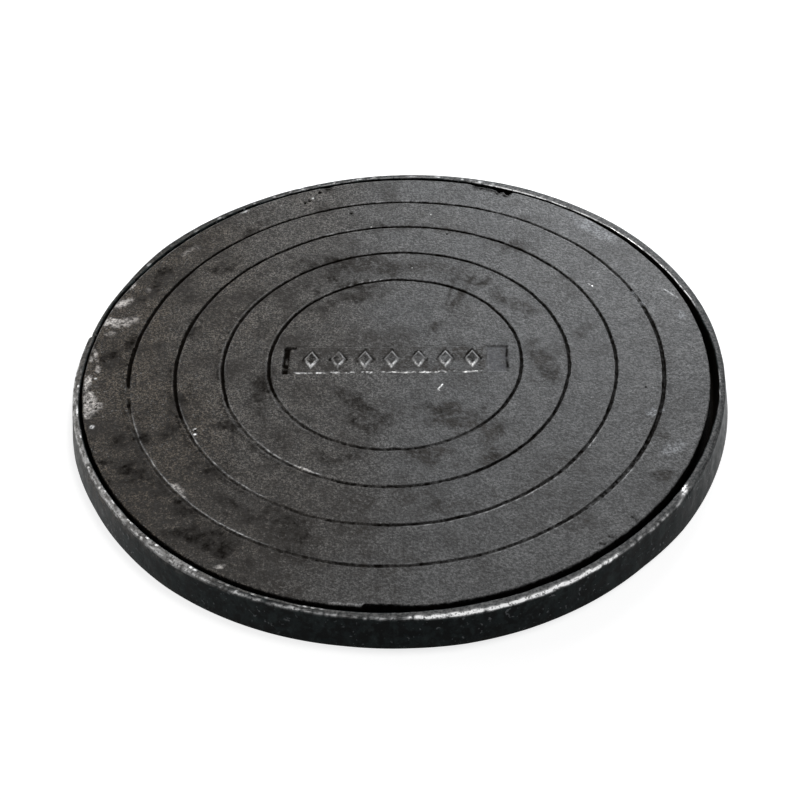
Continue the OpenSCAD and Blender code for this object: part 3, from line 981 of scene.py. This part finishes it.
class Nodes:
    """Short calls for building the nodes of a material or of the world."""

    def __init__(self, owner):
        owner.use_nodes = True
        self.tree = owner.node_tree
        self.tree.nodes.clear()

    def node(self, kind, inputs=(), **settings):
        """A new shader node, with values or links for its first sockets, or for those that are named."""
        node = self.tree.nodes.new("ShaderNode" + kind)
        for key, value in settings.items():
            setattr(node, key, value)
        for key, value in inputs.items() if isinstance(inputs, dict) else enumerate(inputs):
            if isinstance(value, bpy.types.NodeSocket):
                self.tree.links.new(value, node.inputs[key])
            else:
                node.inputs[key].default_value = value
        return node

    def math(self, operation, a, b, clamp=False):
        return self.node("Math", (a, b), operation=operation, use_clamp=clamp).outputs[0]

    def times(self, a, b, clamp=False):
        return self.math("MULTIPLY", a, b, clamp)

    def plus(self, a, b, clamp=False):
        return self.math("ADD", a, b, clamp)

    def minus(self, a, b):
        return self.math("SUBTRACT", a, b)

    def mix(self, share, a, b, blend="MIX"):
        inputs = {0: share, 6: a, 7: b}
        return self.node("Mix", inputs, data_type="RGBA", blend_type=blend).outputs[2]

    def tint(self, colour, by, share=1):
        return self.mix(share, colour, by, "MULTIPLY")

    def ramp(self, value, low, high, out_low=0, out_high=1, kind="SMOOTHSTEP"):
        inputs = (value, low, high, out_low, out_high)
        return self.node("MapRange", inputs, interpolation_type=kind).outputs[0]

    def place(self):
        """Coordinates in the object's own axes, in metres."""
        return self.node("TexCoord").outputs["Object"]

    def noise(self, size_mm, detail=3, rough=0.55, stretch=None):
        place = self.place()
        if stretch:
            place = self.node("Mapping", {"Vector": place, "Scale": stretch}).outputs[0]
        inputs = {"Vector": place, "Scale": 1 / (size_mm * MM), "Detail": detail, "Roughness": rough}
        return self.node("TexNoise", inputs).outputs["Fac"]

    def mark(self, name):
        return self.node("Attribute", attribute_name=name).outputs["Fac"]

    def bump(self, height, depth_mm):
        inputs = {"Strength": 1, "Distance": depth_mm * MM, "Height": height}
        return self.node("Bump", inputs).outputs[0]

    def blend(self, share, a, b):
        """One shader into another."""
        return self.node("MixShader", (share, a, b)).outputs[0]

    def surface(self, colour, metallic, roughness, normal, specular, grime):
        """The iron, with packed dull dirt over it where grime says, which in places is painted shade."""
        iron = self.node("BsdfPrincipled", {
            "Base Color": colour, "Metallic": metallic, "Roughness": roughness, "Normal": normal,
            "Specular IOR Level": specular})
        dirt_and_shade = self.node("BsdfPrincipled", {
            "Base Color": DIRT_AND_SHADE, "Roughness": 1, "Specular IOR Level": 0.02})
        self.node("OutputMaterial", (self.blend(grime, iron.outputs[0], dirt_and_shade.outputs[0]),))


def cover_material():
    material = bpy.data.materials.new("worn_cast_face")
    n = Nodes(material)
    grain, coarse, cloud = n.noise(2.6, 2, 0.6), n.noise(6.5, 3), n.noise(60, 4, 0.6)
    warm, field, grime = n.mark("warm"), n.mark("smooth_field"), n.mark("grime")
    # the grain of the casting, with more contrast where it is brown
    swing = n.plus(0.3, n.times(warm, 0.22))
    grained = n.ramp(grain, 0.37, 0.63, n.minus(0.5, swing), n.plus(0.5, swing))
    tone = n.mix(grained, grey(0.010), grey(0.158))
    tone = n.mix(n.ramp(coarse, 0.38, 0.62, 0, 0.24), tone, grey(0.038))
    tone = n.mix(n.ramp(cloud, 0.35, 0.7, 0, 0.35), tone, grey(0.050, -0.3))
    sparkle = n.mix(n.ramp(n.noise(1.5, 1), 0.39, 0.61), grey(0.22), grey(2.15))
    tone = n.mix(n.plus(0.27, n.times(warm, 0.73)), tone, n.tint(tone, sparkle))
    tone = n.tint(tone, n.mix(n.ramp(n.noise(13, 4, 0.6), 0.34, 0.66), grey(0.83), grey(1.22)))
    tone = n.mix(warm, tone, n.tint(tone, BROWN))
    # a film of dirt, partly painted shade toward the front and left; rubbed flakes, with one painted sheen;
    # the field of the panel, light specks, and bare metal that in places paints in highlights
    soil = n.times(n.mark("soil"), n.ramp(n.noise(3.5, 3), 0.32, 0.62, 0.25, 1.6))
    tone = n.mix(n.times(soil, 1.7, clamp=True), tone, SOIL_AND_SHADE)
    pale = n.times(n.mark("pale"), n.ramp(n.noise(4.4, 4, 0.68), 0.36, 0.46, 0, 1.2), clamp=True)
    # the colour of the rubbed flakes, cool on the right, where it also carries the painted sheen
    wear_and_highlight = n.mix(n.ramp(grain, 0.38, 0.62), grey(0.25), grey(0.82))
    tone = n.mix(pale, tone, n.tint(wear_and_highlight, n.mix(n.ramp(warm, 0.1, 0.6), COOL_RUB_AND_SHEEN, WARM_RUB)))
    tone = n.mix(n.times(field, n.ramp(coarse, 0.38, 0.58, 0.12, 0.55)), tone, FIELD_TONE)
    speck = n.times(n.ramp(n.noise(1.7, 1, 0.5), 0.65, 0.73), n.ramp(n.mark("soil"), 0.06, 0.24, 1, 0.25))
    tone = n.mix(n.times(speck, n.plus(0.34, n.times(warm, 0.22))), tone, grey(0.29, 0.1))
    bare = n.times(n.mark("bare"), n.ramp(n.noise(1.9, 2), 0.32, 0.56, 0.25, 1.1), clamp=True)
    tone = n.mix(bare, tone, grey(0.7))
    # packed dirt and painted shade break up where they are neither whole nor gone
    partly = n.times(grime, n.minus(1, grime))
    mottle = n.times(n.minus(n.noise(4.4, 4, 0.68), 0.5), n.times(partly, 12))
    grime = n.plus(grime, mottle, clamp=True)
    rough = n.minus(n.ramp(coarse, 0.3, 0.7, 0.5, 0.64), n.times(bare, 0.24))
    height = n.plus(n.times(grain, 0.9), n.times(coarse, 0.5))
    height = n.times(height, n.minus(1, n.times(field, 0.4)))
    n.surface(tone, n.times(bare, 0.8), rough, n.bump(height, 0.85), 0.22, grime)
    return material


def ring_material():
    material = bpy.data.materials.new("painted_cast_ring")
    n = Nodes(material)
    grain, coarse = n.noise(2.3, 2, 0.6), n.noise(7, 3.5)
    # black dip, mottled and streaked, with fine light specks
    tone = n.mix(n.ramp(coarse, 0.42, 0.6), DARK_PAINT, LIGHT_PAINT)
    streak = n.ramp(n.noise(9, 4, 0.6, (1, 1, 0.5)), 0.5, 0.68, 0, 0.75)
    tone = n.mix(streak, tone, PAINT_STREAK)
    clusters = n.ramp(n.noise(26, 2), 0.42, 0.58, 0.1, 1)
    speck = n.times(n.ramp(n.noise(3.5, 1.5, 0.5), 0.63, 0.7), clusters)
    tone = n.mix(n.times(speck, 0.8), tone, grey(0.2, -0.2))
    # rubbed metal, a film of dirt and bare metal; at the front of the outer round and the inner corner at the
    # back, the rubbed and bare metal also paint in highlights
    land = n.mix(n.ramp(grain, 0.3, 0.7), grey(0.060, -0.2), grey(0.19, 0.1))
    land = n.mix(n.times(n.mark("warm"), 0.6), land, n.tint(land, LAND_BROWN, 0.8))
    pale = n.times(n.mark("pale"), n.ramp(n.noise(2.6, 3), 0.25, 0.55, 0.6, 1.5), clamp=True)
    tone = n.mix(pale, tone, land)
    tone = n.mix(n.mark("soil"), tone, RING_SOIL)
    bare = n.times(n.mark("bare"), n.ramp(n.noise(2, 2), 0.3, 0.53, 0.18, 1.2), clamp=True)
    tone = n.mix(bare, tone, grey(0.88))
    rough = n.plus(n.ramp(coarse, 0.3, 0.7, 0.3, 0.44), n.times(pale, 0.3))
    rough = n.minus(rough, n.times(bare, 0.22))
    height = n.plus(n.times(grain, 0.6), n.times(coarse, 1.1))
    n.surface(tone, n.times(bare, 0.85), rough, n.bump(height, 0.2), 0.045, n.mark("grime"))
    return material


# The pieces

cover = cover_piece()
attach(cover, "root")
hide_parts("cover")
cover.data.materials.append(cover_material())

ring = ring_piece()
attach(ring, "root")
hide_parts("frame_ring")
ring.data.materials.append(ring_material())


# Floor, world, lights and camera

def seen_or_not(n, seen, unseen):
    """One shader for rays that show the background, the other for those that light the part."""
    path = n.node("LightPath").outputs
    share = path["Is Camera Ray"]
    for name in ("Is Glossy Ray", "Is Transmission Ray"):
        share = n.math("MAXIMUM", share, path[name])
    return n.blend(share, unseen, seen)


def floor():
    mesh = bpy.data.meshes.new("floor")
    half = 6
    corners = [(-half, -half, 0), (half, -half, 0), (half, half, 0), (-half, half, 0)]
    mesh.from_pydata(corners, [], [(0, 1, 2, 3)])
    obj = place_object("floor", mesh)
    obj.location = (0, 0, -0.3 * MM)
    material = bpy.data.materials.new("pale_floor")
    n = Nodes(material)
    pale = n.node("BsdfDiffuse", ((0.55, 0.55, 0.55, 1),)).outputs[0]
    far = n.node("VectorMath", (n.place(),), operation="LENGTH").outputs["Value"]
    fade = n.ramp(far, 0.7, 2.2, 0.74, 0.93, "LINEAR")
    glow = n.node("Emission", ((1, 1, 1, 1), fade)).outputs[0]
    lit = n.node("AddShader", (pale, glow)).outputs[0]
    n.node("OutputMaterial", (seen_or_not(n, lit, pale),))
    mesh.materials.append(material)


def world():
    studio = bpy.data.worlds.new("studio")
    n = Nodes(studio)
    seen = n.node("Background", ((1, 1, 1, 1), 1)).outputs[0]
    unseen = n.node("Background", ((0.93, 0.96, 1, 1), 0.2)).outputs[0]
    n.node("OutputWorld", (seen_or_not(n, seen, unseen),))
    SCENE.world = studio


def lamp(name, place, size, watts, colour, aim=(0, 0, 0)):
    data = bpy.data.lights.new(name, "AREA")
    data.shape = "DISK"
    data.size = size
    data.energy = watts
    data.color = colour
    obj = place_object(name, data)
    obj.location = place
    obj.rotation_euler = (Vector(aim) - Vector(place)).to_track_quat("-Z", "Y").to_euler()


def camera():
    """The photo's view: the eye is given from the middle of the grooves, in metres."""
    data = bpy.data.cameras.new("photo_view")
    data.lens = 63.811
    data.sensor_width = 36
    right, up = (0.998749, -0.036018, -0.034674), (0.049953, 0.690166, 0.721925)
    back = (-0.002072, -0.722754, 0.691102)
    eye = (PATTERN[0] * MM, PATTERN[1] * MM - 1.01707, FACE_Z * MM + 0.91823)
    SCENE.camera = place_object("photo_view", data)
    SCENE.camera.matrix_world = Matrix.Translation(eye) @ Matrix((right, up, back)).transposed().to_4x4()


floor()
world()
lamp("key", (0.26, 0.3, 1.85), 0.42, 10.7, (1, 0.99, 0.97))
lamp("near_right", (0.44, 0.92, 0.56), 0.55, 8.9, (0.93, 0.96, 1), aim=(0.03, 0.05, 0))
lamp("left", (-1.7, 0.3, 0.9), 0.7, 6.3, (1, 0.98, 0.95))
camera()
SCENE.view_settings.view_transform = "Standard"
